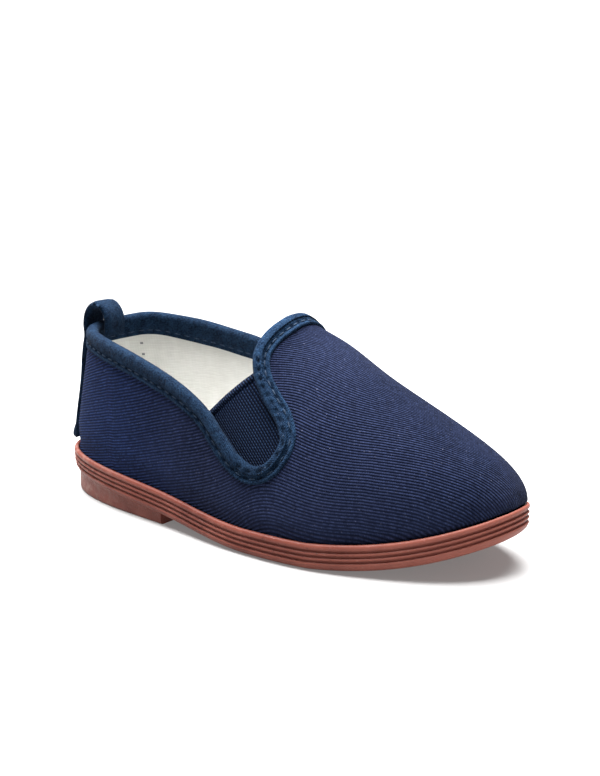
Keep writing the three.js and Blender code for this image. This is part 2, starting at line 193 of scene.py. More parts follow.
def through(keys, values, key):
    """Smooth curve through table rows, with slopes from each row's two neighbours."""
    gap = np.diff(keys)
    secant = np.diff(values) / gap
    slope = np.empty_like(values)
    slope[1:-1] = (secant[:-1] * gap[1:] + secant[1:] * gap[:-1]) / (gap[1:] + gap[:-1])
    slope[0] = 2 * secant[0] - slope[1]
    slope[-1] = 2 * secant[-1] - slope[-2]
    at = np.clip(key, keys[0], keys[-1])
    i = np.clip(np.searchsorted(keys, at, side="right") - 1, 0, len(gap) - 1)
    t = (at - keys[i]) / gap[i]
    return (
        (1 + 2 * t) * (1 - t) ** 2 * values[i]
        + t * (1 - t) ** 2 * gap[i] * slope[i]
        + t * t * (3 - 2 * t) * values[i + 1]
        + t * t * (t - 1) * gap[i] * slope[i + 1]
    )


def ease(share):
    s = np.clip(share, 0, 1)
    return s * s * (3 - 2 * s)


def hill(x, centre, width):
    return np.exp(-(((x - centre) / width) ** 2))


def unit(vectors):
    return vectors / np.maximum(np.linalg.norm(vectors, axis=-1, keepdims=True), 1e-12)


def station(column, x):
    share = np.clip((x + HALF_LENGTH) / SOLE_LENGTH, 0, 1)
    return through(STATIONS[:, 0], STATIONS[:, column], share)


def centre_line(x):
    return TOE_SWING * np.clip(x / HALF_LENGTH, 0, 1) ** 2


def crest_line(x):
    return centre_line(x) + CREST_SHIFT * hill(x, CREST_AT, CREST_SPREAD)


def band_bottom(x):
    return np.maximum(0, station(BOTTOM, x))


def rim_top(x):
    return band_bottom(x) + BAND_HEIGHT


def outline_at(turn):
    x = -HALF_LENGTH * np.cos(turn)
    half = np.where(np.sin(turn) >= 0, station(OUTER, x), station(INNER, x))
    return np.stack([x, -np.sin(turn) * half + centre_line(x)], -1)


def outline(turn, inset):
    """Sole outline moved inwards. Turn 0 is the heel, a quarter turn the outer side."""
    step = 1e-4
    along = unit(outline_at(turn + step) - outline_at(turn - step))
    inward = np.stack([-along[..., 1], along[..., 0]], -1)
    return outline_at(turn) + inward * np.asarray(inset)[..., None]


def heel_lean(x, z):
    up = np.clip((z - LEAN_FOOT) / LEAN_RISE, 0, LEAN_LIMIT)
    back = np.clip((LEAN_FRONT - x) / (HALF_LENGTH + LEAN_FRONT), 0, 1)
    return HEEL_LEAN * up**1.05 * back**1.5


def last_point(turn, rise):
    """Outer face of the upper: rise runs from the rim, 0, to the crest, 1."""
    turn, rise = np.broadcast_arrays(np.asarray(turn, float), np.asarray(rise, float))
    reach = -np.cos(turn)
    short = np.where(reach < 0, SPINE_REAR * reach**2, SPINE_TOE * reach**3)
    top_x = HALF_LENGTH * reach * (1 - short)
    top = np.stack([top_x, crest_line(top_x)], -1)
    power = station(SQUARE, top_x)
    across = np.abs(np.cos(rise * math.pi / 2))
    up = np.abs(np.sin(rise * math.pi / 2))
    radius = (across**power + up**power) ** (-1 / power)
    swell = UPPER_SWELL * ease(up * radius / 0.1)
    foot = outline(turn, UPPER_INSET - swell)
    flat = foot + (top - foot) * (1 - across * radius)[..., None]
    base = rim_top(foot[..., 0])
    z = base + (station(RIDGE, flat[..., 0]) - base) * up * radius
    return np.stack([flat[..., 0] + heel_lean(flat[..., 0], z), flat[..., 1], z], -1)


def tangents(turn, rise):
    """How the surface runs per unit of turn and of rise, and its normal."""
    step = 1e-3
    low = np.clip(rise, step, 1 - step)
    by_turn = (last_point(turn + step, low) - last_point(turn - step, low)) / (2 * step)
    by_rise = (last_point(turn, low + step) - last_point(turn, low - step)) / (2 * step)
    return by_turn, by_rise, unit(np.cross(by_turn, by_rise))


def last_offset(turn, rise, offset):
    normal = tangents(turn, rise)[2]
    return last_point(turn, rise) + normal * np.asarray(offset)[..., None]


def walk(turn, rise, heading, length):
    """Moves points over the surface along a heading. Returns turn, rise and the new heading."""
    by_turn, by_rise, normal = tangents(turn, rise)
    flat = unit(heading - normal * np.sum(heading * normal, -1, keepdims=True))
    move = flat * np.asarray(length)[..., None]
    a = np.sum(by_turn * by_turn, -1)
    b = np.sum(by_turn * by_rise, -1)
    c = np.sum(by_rise * by_rise, -1)
    p = np.sum(by_turn * move, -1)
    q = np.sum(by_rise * move, -1)
    det = np.maximum(a * c - b * b, 1e-9)
    return turn + (c * p - b * q) / det, np.clip(rise + (a * q - b * p) / det, 0, 1), flat


# ---------------- edge of the opening

edge_keys = np.append(0, np.cumsum(np.hypot(*np.diff(OPENING[:, :2], axis=0).T) ** 0.5))
dense_keys = np.linspace(0, edge_keys[-1], 400)
edge_x = np.append(through(edge_keys, OPENING[:, 0], dense_keys), OPENING[-1, 0])
edge_z = np.append(through(edge_keys, OPENING[:, 1], dense_keys), OPENING_TOP)
edge_tape = np.append(through(edge_keys, OPENING[:, 2], dense_keys), OPENING[-1, 2])

CHUNK = 4000          # points measured at a time


def inner_lift(x, y):
    """The inner side of the collar stands a little higher at the heel and before the notch."""
    return INNER_LIFT * (0.7 * hill(x, -68, 8) + hill(x, -22, 12)) * ease(y / 15)


def edge_distance(points):
    """Side-view distance into the canvas from the opening's edge, and the nearest edge row."""
    flat = points.reshape(-1, 3)
    ax, az = edge_x[:-1], edge_z[:-1]
    dx, dz = np.diff(edge_x), np.diff(edge_z)
    distance = np.empty(len(flat))
    nearest = np.empty(len(flat), int)
    for start in range(0, len(flat), CHUNK):
        part = flat[start:start + CHUNK]
        px = part[:, 0, None] - ax
        level = part[:, 2] - COLLAR_TILT * part[:, 1] - inner_lift(part[:, 0], part[:, 1])
        pz = level[:, None] - az
        t = np.clip((px * dx + pz * dz) / (dx * dx + dz * dz), 0, 1)
        qx, qz = px - t * dx, pz - t * dz
        square = qx * qx + qz * qz
        i = np.argmin(square, axis=1)
        row = np.arange(len(i))
        inside = qx[row, i] * dz[i] - qz[row, i] * dx[i] >= 0
        distance[start:start + CHUNK] = np.sqrt(square[row, i]) * np.where(inside, 1, -1)
        nearest[start:start + CHUNK] = i
    return distance.reshape(points.shape[:-1]), nearest.reshape(points.shape[:-1])


def edge_slope(point):
    """Gradient of the edge distance in space."""
    step = 0.05 * np.eye(3)
    ahead = edge_distance(point[..., None, :] + step)[0]
    behind = edge_distance(point[..., None, :] - step)[0]
    return (ahead - behind) / 0.1


def trace_edge(side):
    """Follows the opening's edge over the surface from the heel's middle to the crest.
    side is 1 on the outer side and -1 on the inner one. Returns rows of turn and rise."""
    rises = np.linspace(0.2, 0.99, 800)
    heel = edge_distance(last_point(np.zeros(800), rises))[0]
    turn, rise = 0.0, rises[np.argmin(np.abs(heel))]
    heading = np.array([0.0, -float(side), 0.0])
    path = [(turn, rise)]
    while rise < 0.9985 and len(path) < 800:
        point = last_point(turn, rise)
        normal = tangents(turn, rise)[2]
        slope = edge_slope(point)
        slope = slope - normal * np.dot(slope, normal)
        along = unit(np.cross(slope, normal))
        heading = along * np.sign(np.dot(along, heading))
        turn, rise, _ = walk(turn, rise, heading, 0.4)
        for _ in range(2):
            error = edge_distance(last_point(turn, rise)[None])[0][0]
            turn, rise, _ = walk(turn, rise, slope, -error / max(np.linalg.norm(slope), 0.3))
        path.append((float(turn), float(rise)))
    return np.array(path)


def smooth_loop(values, passes):
    for _ in range(passes):
        values = (np.roll(values, 1, 0) + 2 * values + np.roll(values, -1, 0)) / 4
    return values


LOOP_STEP = 0.4
WALK_STEP = 0.5
WALK_ROWS = 20


def opening_loop():
    """The edge as one closed loop, and the surface on its canvas side in steps of WALK_STEP.
    Returns arrays of shape (loop, walk, 3): points and normals, with the loop's length."""
    outer_path, inner_path = trace_edge(1), trace_edge(-1)
    path = np.concatenate([outer_path, inner_path[::-1][1:-1]])
    points = last_point(path[:, 0], path[:, 1])
    gaps = np.linalg.norm(np.diff(np.vstack([points, points[:1]]), axis=0), axis=1)
    lengths = np.append(0, np.cumsum(gaps))
    count = int(lengths[-1] / LOOP_STEP)
    at = np.arange(count) * lengths[-1] / count
    outer_part, inner_part = slice(0, len(outer_path)), slice(len(outer_path), len(path))
    turn, rise = [
        np.where(at < lengths[len(outer_path) - 1],
                 np.interp(at, lengths[outer_part], path[outer_part, column]),
                 np.interp(at, lengths[inner_part], path[inner_part, column]))
        for column in (0, 1)
    ]
    slope = edge_slope(last_point(turn, rise))
    normal = tangents(turn, rise)[2]
    heading = unit(slope - normal * np.sum(slope * normal, -1, keepdims=True))
    heading = unit(smooth_loop(heading, 12))
    rows, normals = [last_point(turn, rise)], [normal]
    for _ in range(WALK_ROWS):
        turn, rise, heading = walk(turn, rise, heading, np.full(count, WALK_STEP))
        rows.append(last_point(turn, rise))
        normals.append(tangents(turn, rise)[2])
    points = smooth_loop(np.stack(rows, 1), 4)
    normals = unit(smooth_loop(np.stack(normals, 1), 6))
    widths = edge_tape[edge_distance(points[:, 0])[1]]
    return points, normals, smooth_loop(widths, 20), lengths[-1]


loop_points, loop_normals, loop_widths, loop_length = opening_loop()
loop_at = np.arange(len(loop_points)) * loop_length / len(loop_points)
start_heading = unit(loop_points[:, 1] - loop_points[:, 0])


def on_tape(w, h):
    """Points at w millimetres into the canvas from the edge and h above it, one per loop row."""
    w, h = np.broadcast_arrays(np.asarray(w, float), np.asarray(h, float))
    w = np.broadcast_to(w, (len(loop_points),)) if w.ndim < 1 else w
    h = np.broadcast_to(h, (len(loop_points),)) if h.ndim < 1 else h
    share = np.clip(w / WALK_STEP, 0, WALK_ROWS - 1e-6)
    row = share.astype(int)
    part = (share - row)[:, None]
    i = np.arange(len(loop_points))
    point = loop_points[i, row] * (1 - part) + loop_points[i, row + 1] * part
    normal = unit(loop_normals[i, row] * (1 - part) + loop_normals[i, row + 1] * part)
    over = np.minimum(w, 0)[:, None]
    return point + start_heading * over + normal * h[:, None]


# ---------------- meshes


def grid_faces(rows, columns, close_rows=False, close_columns=False):
    i = np.arange(rows if close_rows else rows - 1)[:, None]
    j = np.arange(columns if close_columns else columns - 1)[None, :]
    a = i * columns + j
    b = i * columns + (j + 1) % columns
    c = ((i + 1) % rows) * columns + (j + 1) % columns
    d = ((i + 1) % rows) * columns + j
    return np.stack([a, b, c, d], -1).reshape(-1, 4)


def add_piece(name, points, faces, finish, slot=None, cloth=None, painted_shade=None, stands_for=()):
    """One mesh piece. cloth is a pair of coordinates in mm per point; the argument after it is a
    share of painted shade per point.
    """
    mesh = bpy.data.meshes.new(name)
    used, compact = np.unique(faces, return_inverse=True)
    faces = compact.reshape(faces.shape)
    mesh.from_pydata((points.reshape(-1, 3)[used] * MM).tolist(), [], faces.tolist())
    corners = np.empty(len(mesh.loops), int)
    mesh.loops.foreach_get("vertex_index", corners)
    if cloth is not None:
        layer = mesh.uv_layers.new(name="cloth")
        layer.data.foreach_set("uv", cloth.reshape(-1, 2)[used][corners].ravel())
    if painted_shade is not None:
        layer = mesh.attributes.new("painted_shade", "FLOAT", "POINT")
        layer.data.foreach_set("value", painted_shade.ravel()[used])
    mesh.polygons.foreach_set("use_smooth", np.ones(len(mesh.polygons), bool))
    mesh.update()
    piece = bpy.data.objects.new(name, mesh)
    bpy.context.collection.objects.link(piece)
    mesh.materials.append(finish)
    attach(piece, "root")
    if stands_for:
        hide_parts(*stands_for)
    return piece


def joined(grids):
    """Several pairs of points and faces as one pair."""
    points = [grid.reshape(-1, 3) for grid, _ in grids]
    firsts = np.cumsum([0] + [len(part) for part in points[:-1]])
    faces = [quads + first for (_, quads), first in zip(grids, firsts)]
    return np.concatenate(points), np.concatenate(faces)


def bead_chain(centres, alongs, sides, ups, length, width, height):
    """Many small rounded stitches: points and faces of one mesh."""
    rings, around = 6, 8
    t = np.linspace(-1, 1, rings)
    fat = np.sqrt(np.clip(1 - np.abs(t) ** 2.6, 0.02, 1))
    angle = np.arange(around) * 2 * math.pi / around
    count = len(centres)
    local = np.stack([
        np.repeat(t * length / 2, around),
        (fat[:, None] * np.cos(angle) * width / 2).ravel(),
        (fat[:, None] * np.sin(angle) * height / 2).ravel(),
    ], -1)
    points = (
        centres[:, None]
        + alongs[:, None] * local[None, :, 0:1]
        + sides[:, None] * local[None, :, 1:2]
        + ups[:, None] * local[None, :, 2:3]
    )
    one = grid_faces(rings, around, close_columns=True)
    offset = np.arange(count)[:, None, None] * rings * around
    return points.reshape(-1, 3), (one[None] + offset).reshape(-1, 4)


# ---------------- finishes


class Finish:
    """A material under construction: a Principled shader and the nodes that feed it."""

    def __init__(self, name, constants):
        self.material = bpy.data.materials.new(name)
        self.material.use_nodes = True
        self.tree = self.material.node_tree
        self.shader = self.tree.nodes["Principled BSDF"]
        for socket, value in constants.items():
            self.shader.inputs[socket].default_value = value

    def put(self, kind, inputs=(), output=0, **attributes):
        node = self.tree.nodes.new("ShaderNode" + kind)
        for key, value in attributes.items():
            setattr(node, key, value)
        pairs = inputs.items() if isinstance(inputs, dict) else enumerate(inputs)
        for key, value in pairs:
            self.feed(node.inputs[key], value)
        return node.outputs[output]

    def feed(self, socket, value):
        if isinstance(value, bpy.types.NodeSocket):
            self.tree.links.new(value, socket)
        elif isinstance(value, tuple) and len(value) == 3 and socket.type == "RGBA":
            socket.default_value = (*value, 1)
        else:
            socket.default_value = value

    def math(self, operation, *inputs, clamp=False):
        return self.put("Math", inputs, operation=operation, use_clamp=clamp)

    def wave(self, length, pitch, shift=0.0):
        """0 to 1 and back over each pitch."""
        turn = self.math("MULTIPLY_ADD", length, 2 * math.pi / pitch, shift)
        return self.math("MULTIPLY_ADD", self.math("SINE", turn), 0.5, 0.5)

    def noise(self, vector, scale, detail=2.0):
        return self.put("TexNoise", {"Vector": vector, "Scale": scale, "Detail": detail})

    def stretched(self, vector, *scale):
        return self.put("VectorMath", {0: vector, 1: scale}, operation="MULTIPLY")

    def between(self, value, low, high, to_low=0.0, to_high=1.0):
        return self.put("MapRange", (value, low, high, to_low, to_high), clamp=True)

    def blend(self, share, first, second):
        return self.put("Mix", {0: share, 6: first, 7: second}, output=2, data_type="RGBA")

    def tinted(self, colour, tint):
        return self.put("Mix", {0: 1.0, 6: colour, 7: tint}, output=2, data_type="RGBA",
                        blend_type="MULTIPLY")

    def parts(self, vector):
        split = self.tree.nodes.new("ShaderNodeSeparateXYZ")
        self.tree.links.new(vector, split.inputs[0])
        return split.outputs

    def painted_shade(self):
        """The piece's own share of painted shade, point by point."""
        return self.put("Attribute", output=2, attribute_name="painted_shade")

    def cloth(self):
        """The piece's own millimetre coordinates, and each of the two."""
        vector = self.put("UVMap", uv_map="cloth")
        along, across, _ = self.parts(vector)
        return vector, along, across

    def place(self):
        """Position on the object in millimetres."""
        where = self.put("TexCoord", output=3)
        return self.stretched(where, 1000, 1000, 1000)

    def done(self, colour, height=None, depth=0.0002, roughness=None):
        self.feed(self.shader.inputs["Base Color"], colour)
        if roughness is not None:
            self.feed(self.shader.inputs["Roughness"], roughness)
        if height is not None:
            bump = self.put("Bump", {"Strength": 1.0, "Distance": depth, "Height": height})
            self.feed(self.shader.inputs["Normal"], bump)
        return self.material


def twill_finish():
    f = Finish("twill_canvas", {"Roughness": 0.9, "Specular IOR Level": 0.05,
                                "Sheen Weight": 0.02})
    vector, along, across = f.cloth()
    place = f.place()
    drift = f.math("MULTIPLY", f.noise(f.stretched(vector, 0.09, 0.09, 0), 1.0), 0.35)
    level = f.math("ADD", across, drift)
    row = f.math("FLOOR", f.math("DIVIDE", level, RIB_PITCH))
    rib = f.wave(level, RIB_PITCH, -math.pi / 2)
    yarn = f.put("CombineXYZ", (f.math("MULTIPLY", along, 0.9), f.math("MULTIPLY", row, 3.7), 0.0))
    uneven = f.noise(yarn, 1.0, 3.0)
    strands = f.wave(f.math("MULTIPLY_ADD", row, 0.33, along), 0.66)
    light = f.math("MULTIPLY", f.math("POWER", rib, 1.3), f.between(uneven, 0.3, 0.7, 0.30, 1.30))
    light = f.math("MULTIPLY", light, f.between(strands, 0.0, 1.0, 0.75, 1.08))
    grain = f.between(f.noise(place, 1.15, 3.0), 0.34, 0.66, 0.55, 1.25)
    light = f.math("MULTIPLY", light, grain, clamp=True)
    colour = f.blend(light, TWILL_DARK, TWILL_LIGHT)
    faded = f.between(f.noise(place, 0.035, 3.0), 0.35, 0.7, 0.0, 0.22)
    colour = f.blend(faded, colour, TWILL_FADED)
    lint = f.between(f.noise(place, 1.9, 1.0), 0.72, 0.80, 0.0, 0.40)
    colour = f.blend(lint, colour, LINT)
    # painted light: the canvas is tinted lighter and bluer towards the heel, where more light
    # falls
    rear = f.between(f.parts(place)[0], -5.0, -45.0)
    colour = f.tinted(colour, f.blend(rear, (1.0, 1.0, 1.0), TWILL_REAR_PAINTED_LIGHT))
    height = f.math("ADD", rib, f.math("MULTIPLY", strands, 0.18))
    return f.done(colour, height, depth=0.00028)


def tape_finish():
    f = Finish("cotton_tape", {"Roughness": 0.92, "Specular IOR Level": 0.05,
                               "Sheen Weight": 0.02})
    vector, along, across = f.cloth()
    place = f.place()
    knit = f.wave(f.math("ADD", along, f.math("MULTIPLY", across, 0.6)), 0.62)
    fuzz = f.noise(place, 1.7, 5.0)
    hairs = f.noise(f.stretched(vector, 1.1, 3.2, 0), 1.0, 4.0)
    patches = f.noise(place, 0.35, 3.0)
    share = f.math("MULTIPLY_ADD", knit, 0.10, f.between(fuzz, 0.34, 0.66, 0.0, 0.48))
    share = f.math("ADD", share, f.between(hairs, 0.36, 0.68, -0.08, 0.26))
    share = f.math("ADD", share, f.between(patches, 0.3, 0.7, -0.18, 0.24), clamp=True)
    colour = f.blend(share, TAPE_DARK, TAPE_LIGHT)
    x, _, z = f.parts(place)
    # painted light: the tape is tinted lighter at the throat, high at the front, where light
    # falls, and darker elsewhere
    throat = f.between(f.math("ADD", x, z), 46.0, 64.0)
    colour = f.tinted(colour, f.blend(throat, TAPE_TINT, TAPE_THROAT_PAINTED_LIGHT))
    # painted shade: the tape is turned near black in its needle pits
    colour = f.blend(f.math("MULTIPLY", f.painted_shade(), 0.92), colour, TAPE_PIT_PAINTED_SHADE)
    height = f.math("MULTIPLY_ADD", knit, 0.3, f.math("MULTIPLY", fuzz, 1.6))
    return f.done(colour, height, depth=0.00032)


def thread_finish():
    f = Finish("sewing_thread", {"Roughness": 0.7, "Specular IOR Level": 0.3})
    place = f.place()
    share = f.between(f.noise(place, 1.6, 3.0), 0.35, 0.65)
    colour = f.blend(share, THREAD_DARK, THREAD_LIGHT)
    return f.done(colour, f.noise(place, 4.0, 2.0), depth=0.0001)


def elastic_finish():
    f = Finish("rib_elastic", {"Roughness": 0.8, "Specular IOR Level": 0.1})
    vector, along, across = f.cloth()
    row = f.math("FLOOR", f.math("DIVIDE", across, ELASTIC_PITCH))
    rib = f.wave(across, ELASTIC_PITCH, -math.pi / 2)
    dots = f.wave(f.math("MULTIPLY_ADD", row, 0.52, along), 1.04)
    uneven = f.noise(f.stretched(vector, 0.8, 1.3, 0), 1.0, 3.0)
    light = f.math("MULTIPLY", f.math("POWER", rib, 2.2), f.between(uneven, 0.3, 0.7, 0.5, 1.1))
    # painted highlight: the dots on the lit ribs are made much lighter
    painted_highlight = f.math("MULTIPLY", f.math("POWER", dots, 3.0), light, clamp=True)
    colour = f.blend(light, ELASTIC_DARK, ELASTIC_LIGHT)
    colour = f.blend(f.math("MULTIPLY", painted_highlight, 0.8), colour, ELASTIC_PAINTED_HIGHLIGHT)
    height = f.math("MULTIPLY_ADD", dots, 0.25, rib)
    return f.done(colour, height, depth=0.0003)


def lining_finish():
    f = Finish("cotton_lining", {"Roughness": 0.95, "Sheen Weight": 0.1})
    vector, along, across = f.cloth()
    place = f.place()
    warp = f.wave(along, LINING_PITCH)
    weft = f.wave(across, LINING_PITCH)
    checks = f.math("ADD", f.math("MULTIPLY", warp, 0.5), f.math("MULTIPLY", weft, 0.5))
    slubs = f.noise(f.stretched(vector, 0.25, 1.6, 0), 1.0, 2.0)
    clouds = f.noise(place, 0.09, 3.0)
    share = f.math("MULTIPLY_ADD", checks, 0.35, f.between(slubs, 0.3, 0.7, 0.0, 0.35))
    share = f.math("ADD", share, f.between(clouds, 0.3, 0.7, 0.0, 0.3), clamp=True)
    colour = f.blend(share, LINING_DARK, LINING_LIGHT)
    x, _, z = f.parts(place)
    near_seam = f.math("COMPARE", x, LINING_SEAM_X, 0.38)
    needle = f.math("POWER", f.wave(z, LINING_SEAM_PITCH, 0.85), 14.0)
    dots = f.math("MULTIPLY", near_seam, needle, clamp=True)
    colour = f.blend(dots, colour, LINING_STITCH)
    creases = f.noise(f.stretched(vector, 0.11, 0.02, 0), 1.0, 2.0)
    height = f.math("MULTIPLY_ADD", checks, 0.10, f.math("MULTIPLY", creases, 3.0))
    return f.done(colour, height, depth=0.0009)


def rubber_finish():
    f = Finish("sole_rubber", {"Specular IOR Level": 0.4})
    place = f.place()
    clouds = f.noise(place, 0.11, 4.0)
    grain = f.noise(place, 1.6, 4.0)
    colour = f.blend(f.between(clouds, 0.3, 0.7), RUBBER_DARK, RUBBER_LIGHT)
    pale = f.between(grain, 0.62, 0.72, 0.0, 0.5)
    colour = f.blend(pale, colour, RUBBER_PALE)
    dark = f.between(f.noise(place, 1.1, 2.0), 0.27, 0.36, 0.55, 0.0)
    colour = f.blend(dark, colour, RUBBER_SPECK)
    x = f.parts(place)[0]
    rear = f.between(x, -40.0, -84.0)
    chalk = f.math("MULTIPLY", rear, f.between(f.noise(place, 0.45, 4.0), 0.46, 0.70, 0.0, 0.38))
    colour = f.blend(chalk, colour, RUBBER_CHALK)
    # painted light: the rubber is made lighter towards the toe, where more light falls
    front = f.between(x, 30.0, 86.0, 0.0, 0.55)
    colour = f.blend(front, colour, RUBBER_TOE_PAINTED_LIGHT)
    # painted shade: the band's grooves and its lip under the canvas are darkened
    colour = f.blend(f.math("MULTIPLY", f.painted_shade(), 0.38), colour, RUBBER_PAINTED_SHADE)
    rough = f.between(grain, 0.3, 0.7, 0.38, 0.62)
    return f.done(colour, grain, depth=0.0001, roughness=rough)


def floor_finish():
    f = Finish("studio_floor", {"Roughness": 0.9, "Specular IOR Level": 0.1,
                                "Emission Strength": 0.17, "Emission Color": (1, 1, 1, 1)})
    place = f.place()
    far = f.put("VectorMath", {0: place}, output=1, operation="LENGTH")
    f.feed(f.shader.inputs["Alpha"], f.between(far, FLOOR_PLAIN, FLOOR_RADIUS, 1.0, 0.0))
    seen = f.put("LightPath")
    pale = f.blend(f.noise(place, 0.01, 2.0), FLOOR_DARK, FLOOR_LIGHT)
    colour = f.blend(seen, FLOOR_BOUNCE, pale)
    return f.done(colour, f.noise(place, 0.4, 2.0), depth=0.00002)


twill, tape, thread = twill_finish(), tape_finish(), thread_finish()
elastic, lining, rubber = elastic_finish(), lining_finish(), rubber_finish()

# ---------------- canvas and lining

TURNS, RISES = 420, 96
TAPE_COVER = 2.2      # canvas hidden under the tape is left away from this distance


def undulate(points, turn, rise):
    """Small outward dents and swells of the cloth, in mm."""
    x, y, z = points[..., 0], points[..., 1], points[..., 2]
    outer = np.sin(turn) > 0
    wave = 0.22 * np.sin(x / 17 + 1.3) * np.sin(z / 13 + y / 21)
    pull = 0.35 * np.where(outer, 1, 0.7) * hill(x, 33, 9) * hill(z, 15, 7)
    gather = 0.04 * np.sin(np.degrees(turn) / 2.1) * hill(rise, 0.04, 0.09)
    throat = -0.30 * hill(x, 26, 8) * hill(z, 44, 9)
    return wave * ease(rise * 8) + pull + gather + throat


# Lie of the twill: how far its ribs count per mm of girth, and per mm along the shoe
RIB_BY_GIRTH = np.array([(-80, 0.93), (-50, 0.95), (-20, 1.02), (10, 1.13), (30, 1.21),
                         (50, 1.30), (65, 1.31), (76, 1.27), (86, 1.19)])
RIB_BY_LENGTH = np.array([(-80, 0.21), (-60, 0.17), (-40, 0.35), (-20, 0.79), (-5, 0.81),
                          (10, 0.52), (25, 0.35), (40, 0.51), (55, 0.65), (65, 0.61),
                          (75, 0.65), (86, 0.69)])


def ribs_across(points):
    """Distance across the twill's ribs, in mm, that runs straight on over the crest."""
    spine = last_point(np.linspace(0, math.pi, 400), np.ones(400))
    toe = last_point(np.full(200, math.pi), np.linspace(0.99, 0, 200))
    crest = np.concatenate([spine, toe])
    crest = crest[np.argsort(crest[:, 0])]
    x, z = points[..., 0], points[..., 2]
    y = crest_line(x) - points[..., 1]
    girth = np.hypot(y, np.interp(x, crest[:, 0], crest[:, 2]) - z)
    shrink = girth**2 * (0.003 + 0.046 * x / 80) / 50
    at = np.linspace(-90, 90, 361)
    length = np.cumsum(np.interp(at, *RIB_BY_LENGTH.T)) * (at[1] - at[0])
    scale = np.interp(x, *RIB_BY_GIRTH.T)
    return np.sign(y) * (girth * scale - shrink) + np.interp(x, at, length)


def skin(offset, turns, rises, skirt):
    """Grid over the last at an offset, with a skirt below the rim."""
    turn = np.arange(turns) * 2 * math.pi / turns
    rise = np.linspace(0, 1, rises) ** 1.15
    grid_turn, grid_rise = np.meshgrid(turn, rise, indexing="ij")
    points = last_offset(grid_turn, grid_rise, np.full(grid_turn.shape, offset))
    normal = tangents(grid_turn, grid_rise)[2]
    points = points + normal * undulate(points, grid_turn, grid_rise)[..., None]
    foot = outline(turn, np.full(turns, UPPER_INSET - offset))
    low = np.column_stack([foot, rim_top(foot[:, 0]) - skirt])[:, None]
    return np.concatenate([low, points], axis=1)


def build_upper():
    points = skin(0.0, TURNS, RISES, 3.2)
    away = edge_distance(points)[0]
    faces = grid_faces(*points.shape[:2], close_rows=True)
    keep = np.all(away.ravel()[faces] > TAPE_COVER, axis=1)
    cloth = np.stack([points[..., 0], ribs_across(points)], -1)
    add_piece("upper_canvas", points, faces[keep], twill, "twill_canvas", cloth,
              stands_for=("upper",))
    points = skin(-WALL, 300, 70, 3.4)
    away = edge_distance(points)[0]
    faces = grid_faces(*points.shape[:2], close_rows=True)[:, ::-1]
    keep = np.all(away.ravel()[faces] > TAPE_COVER, axis=1)
    run = np.cumsum(np.linalg.norm(np.roll(points[:, 5], -1, 0) - points[:, 5], axis=1))
    cloth = np.stack([np.repeat(run[:, None], points.shape[1], 1), points[..., 2]], -1)
    add_piece("upper_lining", points, faces[keep], lining, "cotton_lining", cloth)


build_upper()

# ---------------- tape and its stitches


def loop_frames(at, w, h):
    """Positions and directions on the tape at lengths along the loop."""
    columns = on_tape(w, h)
    ahead = np.roll(columns, -1, 0) - np.roll(columns, 1, 0)
    pick = np.round(np.asarray(at) / loop_length * len(loop_points)).astype(int) % len(loop_points)
    along = unit(ahead[pick])
    row = np.clip((np.broadcast_to(w, len(loop_points)) / WALK_STEP).astype(int), 0, WALK_ROWS)
    up = loop_normals[np.arange(len(loop_points)), row][pick]
    side = unit(np.cross(up, along))
    return columns[pick], along, side, unit(np.cross(along, side))


# The second stitch row starts at the notch's bottom and climbs its front side. In side view:
SECOND_ROW_X = 10.0
FRONT_SIDE_X = 3.0
FRONT_SIDE_LOW = 45.0
FRONT_SIDE_TOP = 59.0


def second_row_span():
    """True for the loop's rows that the second stitch row runs past."""
    edge = loop_points[:, 0]
    level = edge[:, 2] - COLLAR_TILT * edge[:, 1]
    notch = (edge[:, 0] > FRONT_SIDE_X) & (level < FRONT_SIDE_TOP)
    return notch & ((edge[:, 0] > SECOND_ROW_X) | (level > FRONT_SIDE_LOW))


def stitch_places(pitch, chosen=None):
    """Lengths along the loop of a row's stitches, a little uneven."""
    count = int(round(loop_length / pitch))
    at = (np.arange(count) + 0.5) * loop_length / count
    at = at + rng.normal(0, 0.12, count)
    if chosen is None:
        return at
    pick = np.round(at / loop_length * len(loop_points)).astype(int) % len(loop_points)
    return at[chosen[pick]]


def pits(places, w_row, w, half_long, half_wide):
    """Share of a needle pit at each point of the tape: 1 in a pit, 0 away from it."""
    gap = (loop_at[:, None] - places[None, :] + loop_length / 2) % loop_length - loop_length / 2
    nearest = np.min(np.abs(gap), axis=1)
    return hill(nearest, 0, half_long)[:, None] * hill(w, w_row[:, None], half_wide)


